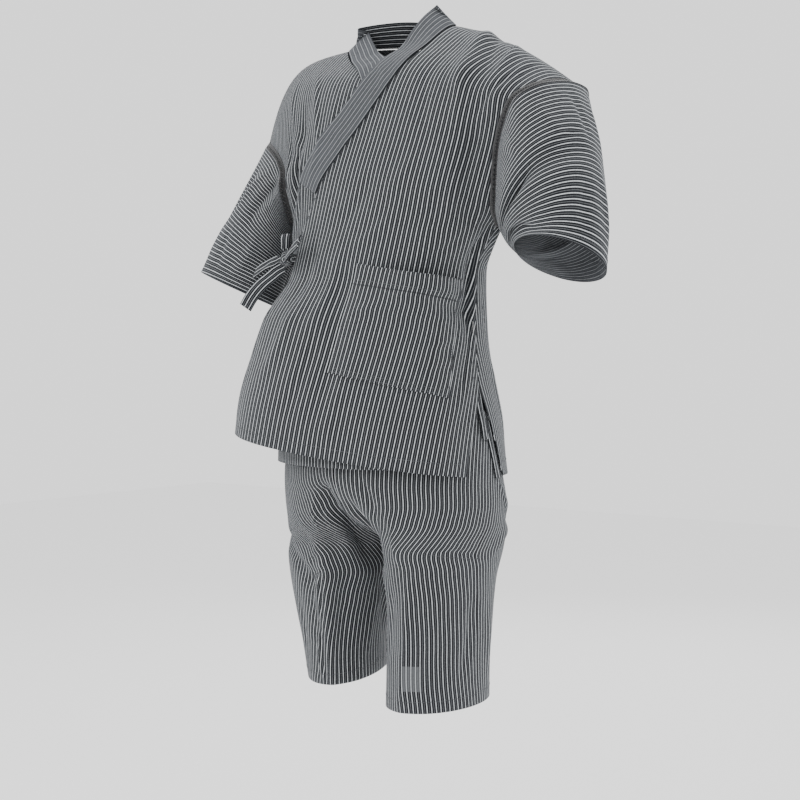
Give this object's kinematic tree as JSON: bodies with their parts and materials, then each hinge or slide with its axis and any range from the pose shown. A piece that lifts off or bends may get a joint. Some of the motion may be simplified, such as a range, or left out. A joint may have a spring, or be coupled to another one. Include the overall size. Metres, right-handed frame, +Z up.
{
  "type": "jinbei set",
  "caption": "Worn jinbei set, hollow and held in its worn pose: a wrapped short-sleeved jacket with lace armhole seams, a patch pocket and side ties, over knee-length shorts.",
  "frame": {"origin": "point between the shoulders that the set hangs from, level with the top of the shoulders", "axes": "+Z up, from the leg hems to the collar; the front faces -Y; the wearer's left side is at +X"},
  "size_m": [0.6836, 0.3229, 0.9725],
  "materials": {
    "body_left": "matt striped cotton",
    "body_right": "matt striped cotton",
    "collar": "matt striped cotton",
    "inner_tie_long": "matt striped cotton",
    "inner_tie_short": "matt striped cotton",
    "lace_left_back": "matt openwork braid",
    "lace_left_front": "matt openwork braid",
    "lace_right_back": "matt openwork braid",
    "lace_right_front": "matt openwork braid",
    "pocket": "matt striped cotton",
    "shorts_left": "matt striped cotton",
    "shorts_right": "matt striped cotton",
    "sleeve_left": "matt striped cotton",
    "sleeve_right": "matt striped cotton",
    "tie_knot": "matt striped cotton",
    "tie_loop_side": "matt striped cotton",
    "tie_loop_up": "matt striped cotton",
    "tie_strap_edge": "matt striped cotton",
    "tie_strap_side": "matt striped cotton",
    "tie_tail_down": "matt striped cotton",
    "tie_tail_up": "matt striped cotton",
    "waistband": "matt striped cotton"
  },
  "bodies": {
    "root": {"body_left": "body_left", "body_right": "body_right", "collar": "collar", "inner_tie_long": "inner_tie_long", "inner_tie_short": "inner_tie_short", "lace_left_back": "lace_left_back", "lace_left_front": "lace_left_front", "lace_right_back": "lace_right_back", "lace_right_front": "lace_right_front", "pocket": "pocket", "shorts_left": "shorts_left", "shorts_right": "shorts_right", "sleeve_left": "sleeve_left", "sleeve_right": "sleeve_right", "tie_knot": "tie_knot", "tie_loop_side": "tie_loop_side", "tie_loop_up": "tie_loop_up", "tie_strap_edge": "tie_strap_edge", "tie_strap_side": "tie_strap_side", "tie_tail_down": "tie_tail_down", "tie_tail_up": "tie_tail_up", "waistband": "waistband"}
  },
  "joints": []
}
